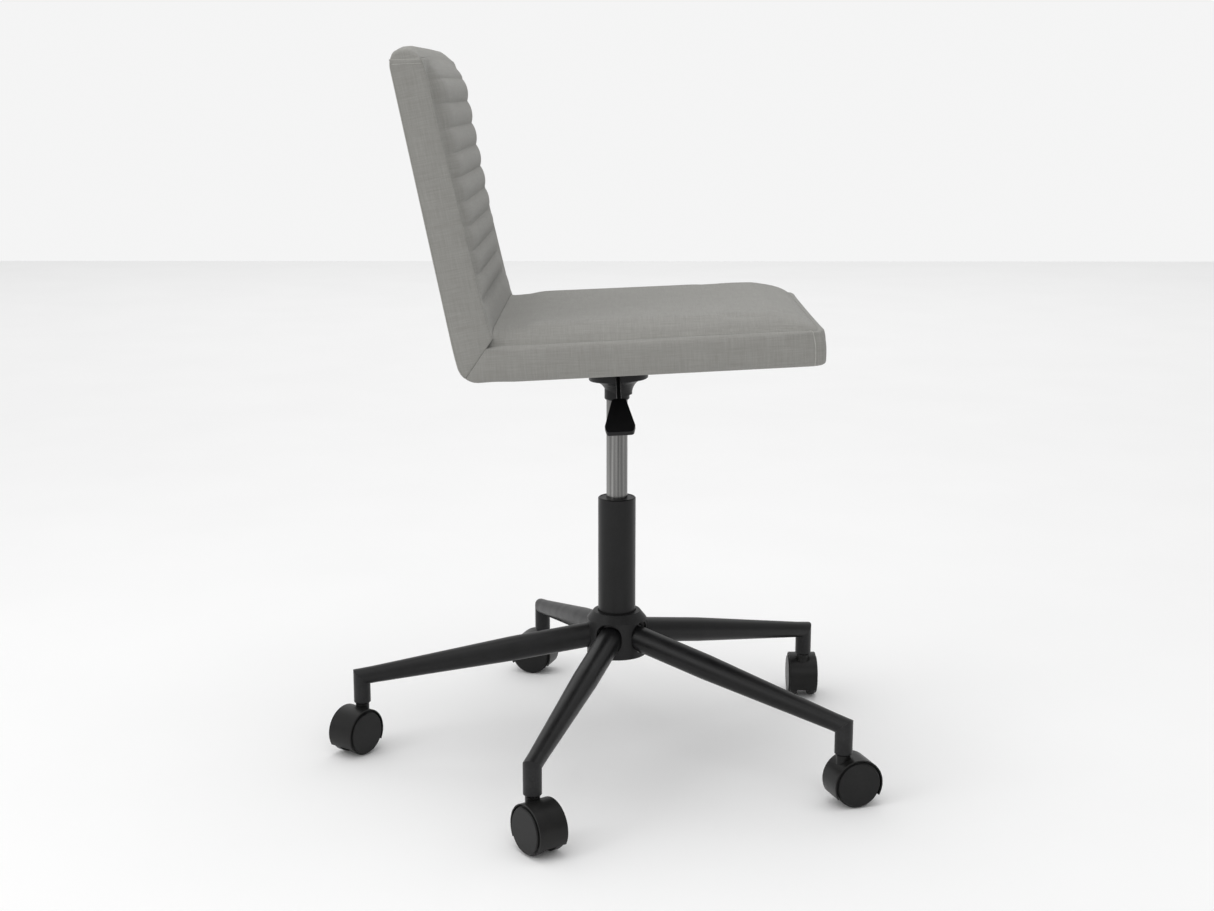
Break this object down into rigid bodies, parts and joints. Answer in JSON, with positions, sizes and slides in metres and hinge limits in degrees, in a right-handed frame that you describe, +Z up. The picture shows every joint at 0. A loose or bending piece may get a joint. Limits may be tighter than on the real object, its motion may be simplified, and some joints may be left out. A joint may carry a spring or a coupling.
{
  "type": "adjustable swivel chair",
  "caption": "Armless upholstered swivel chair: low back with sewn ribs, gas-lift column with release lever, star base on hooded casters.",
  "frame": {"origin": "on the floor, on the axis of the column", "axes": "+Z up; the sitter faces -Y, so the back is at +Y; +X is the sitter's left and the lever is at -X"},
  "size_m": [0.7372, 0.721, 0.933],
  "materials": {
    "grey_fabric": "matt plain weave, heathered grey",
    "black_cloth": "matt",
    "plywood": "raw",
    "black_steel": "satin powder coat",
    "zinc_steel": "zinc plated",
    "bearing_steel": "ground",
    "bright_tube": "drawn, semi-bright",
    "brass": "turned",
    "black_plastic": "satin moulded",
    "caster_plastic": "satin moulded",
    "wheel_plastic": "satin moulded",
    "paddle_plastic": "satin moulded"
  },
  "bodies": {
    "base": {"hub_tube": "black_steel", "hub_cover": "black_plastic", "leg_1": "black_steel", "leg_2": "black_steel", "leg_3": "black_steel", "leg_4": "black_steel", "leg_5": "black_steel", "caster_sockets": "black_plastic", "column_tube": "black_steel", "column_bushing": "black_plastic", "column_plate": "zinc_steel", "bearing_lower_race": "bearing_steel"},
    "lift_rod": {"bearing_balls": "bearing_steel", "bearing_upper_race": "bearing_steel", "piston_rod": "bearing_steel", "piston": "brass", "rod_clip": "zinc_steel"},
    "seat": {"pressure_tube": "bright_tube", "tube_gland": "black_plastic", "valve_body": "brass", "seat_plate": "black_steel", "taper_socket": "black_steel", "lever_pin": "zinc_steel", "plate_bolts": "zinc_steel", "t_nuts": "zinc_steel", "seat_board": "plywood", "back_board": "plywood", "frame_brackets": "zinc_steel", "bracket_screws": "zinc_steel", "seat_cushion": "grey_fabric", "back_cushion": "grey_fabric", "dust_cover": "black_cloth"},
    "lever": {"lever_rod": "black_steel", "lever_paddle": "paddle_plastic"},
    "valve": {"valve_pin": "bearing_steel"},
    "caster_1": {"caster_stem_1": "zinc_steel", "caster_hood_1": "caster_plastic", "caster_axle_1": "zinc_steel"},
    "wheel_a_1": {"wheel_a_1": "wheel_plastic"},
    "wheel_b_1": {"wheel_b_1": "wheel_plastic"},
    "caster_2": {"caster_stem_2": "zinc_steel", "caster_hood_2": "caster_plastic", "caster_axle_2": "zinc_steel"},
    "wheel_a_2": {"wheel_a_2": "wheel_plastic"},
    "wheel_b_2": {"wheel_b_2": "wheel_plastic"},
    "caster_3": {"caster_stem_3": "zinc_steel", "caster_hood_3": "caster_plastic", "caster_axle_3": "zinc_steel"},
    "wheel_a_3": {"wheel_a_3": "wheel_plastic"},
    "wheel_b_3": {"wheel_b_3": "wheel_plastic"},
    "caster_4": {"caster_stem_4": "zinc_steel", "caster_hood_4": "caster_plastic", "caster_axle_4": "zinc_steel"},
    "wheel_a_4": {"wheel_a_4": "wheel_plastic"},
    "wheel_b_4": {"wheel_b_4": "wheel_plastic"},
    "caster_5": {"caster_stem_5": "zinc_steel", "caster_hood_5": "caster_plastic", "caster_axle_5": "zinc_steel"},
    "wheel_a_5": {"wheel_a_5": "wheel_plastic"},
    "wheel_b_5": {"wheel_b_5": "wheel_plastic"}
  },
  "joints": [
    {"name": "seat_swivel", "type": "hinge", "parent": "base", "child": "lift_rod", "pos_m": [0, 0, 0.1492], "axis": [0, 0, 1], "continuous": true},
    {"name": "seat_height", "type": "slide", "parent": "lift_rod", "child": "seat", "axis": [0, 0, 1], "range_m": [-0.12, 0]},
    {"name": "lever_lift", "type": "hinge", "parent": "seat", "child": "lever", "pos_m": [-0.032, -0.00048, 0.53731], "axis": [0, 0.9986, -0.053], "range_deg": [0, 6], "stiffness_Nm_per_rad": 4, "springref_deg": -6.88},
    {"name": "valve_press", "type": "slide", "parent": "seat", "child": "valve", "axis": [0, 0, -1], "range_m": [0, 0.0034], "stiffness_N_per_m": 150, "springref_m": -0.002},
    {"name": "caster_1_swivel", "type": "hinge", "parent": "base", "child": "caster_1", "pos_m": [-0.00783, 0.34491, 0.0665], "axis": [0, 0, 1], "continuous": true},
    {"name": "wheel_a_1_roll", "type": "hinge", "parent": "caster_1", "child": "wheel_a_1", "pos_m": [-0.01887, 0.35285, 0.03], "axis": [0.5835, 0.8121, 0], "continuous": true},
    {"name": "wheel_b_1_roll", "type": "hinge", "parent": "caster_1", "child": "wheel_b_1", "pos_m": [-0.01887, 0.35285, 0.03], "axis": [0.5835, 0.8121, 0], "continuous": true},
    {"name": "caster_2_swivel", "type": "hinge", "parent": "base", "child": "caster_2", "pos_m": [-0.33045, 0.09914, 0.0665], "axis": [0, 0, 1], "continuous": true},
    {"name": "wheel_a_2_roll", "type": "hinge", "parent": "caster_2", "child": "wheel_a_2", "pos_m": [-0.34141, 0.09109, 0.03], "axis": [-0.592, 0.8059, 0], "continuous": true},
    {"name": "wheel_b_2_roll", "type": "hinge", "parent": "caster_2", "child": "wheel_b_2", "pos_m": [-0.34141, 0.09109, 0.03], "axis": [-0.592, 0.8059, 0], "continuous": true},
    {"name": "caster_3_swivel", "type": "hinge", "parent": "base", "child": "caster_3", "pos_m": [-0.1964, -0.28364, 0.0665], "axis": [0, 0, 1], "continuous": true},
    {"name": "wheel_a_3_roll", "type": "hinge", "parent": "caster_3", "child": "wheel_a_3", "pos_m": [-0.19213, -0.29655, 0.03], "axis": [-0.9494, -0.314, 0], "continuous": true},
    {"name": "wheel_b_3_roll", "type": "hinge", "parent": "caster_3", "child": "wheel_b_3", "pos_m": [-0.19213, -0.29655, 0.03], "axis": [-0.9494, -0.314, 0], "continuous": true},
    {"name": "caster_4_swivel", "type": "hinge", "parent": "base", "child": "caster_4", "pos_m": [0.20907, -0.27444, 0.0665], "axis": [0, 0, 1], "continuous": true},
    {"name": "wheel_a_4_roll", "type": "hinge", "parent": "caster_4", "child": "wheel_a_4", "pos_m": [0.22267, -0.27437, 0.03], "axis": [0.0052, -1, 0], "continuous": true},
    {"name": "wheel_b_4_roll", "type": "hinge", "parent": "caster_4", "child": "wheel_b_4", "pos_m": [0.22267, -0.27437, 0.03], "axis": [0.0052, -1, 0], "continuous": true},
    {"name": "caster_5_swivel", "type": "hinge", "parent": "base", "child": "caster_5", "pos_m": [0.32561, 0.11403, 0.0665], "axis": [0, 0, 1], "continuous": true},
    {"name": "wheel_a_5_roll", "type": "hinge", "parent": "caster_5", "child": "wheel_a_5", "pos_m": [0.32975, 0.12698, 0.03], "axis": [0.9527, -0.304, 0], "continuous": true},
    {"name": "wheel_b_5_roll", "type": "hinge", "parent": "caster_5", "child": "wheel_b_5", "pos_m": [0.32975, 0.12698, 0.03], "axis": [0.9527, -0.304, 0], "continuous": true}
  ],
  "couplings": [
    {"joint": "valve_press", "follows": "lever_lift", "m_per_rad": 0.032}
  ]
}
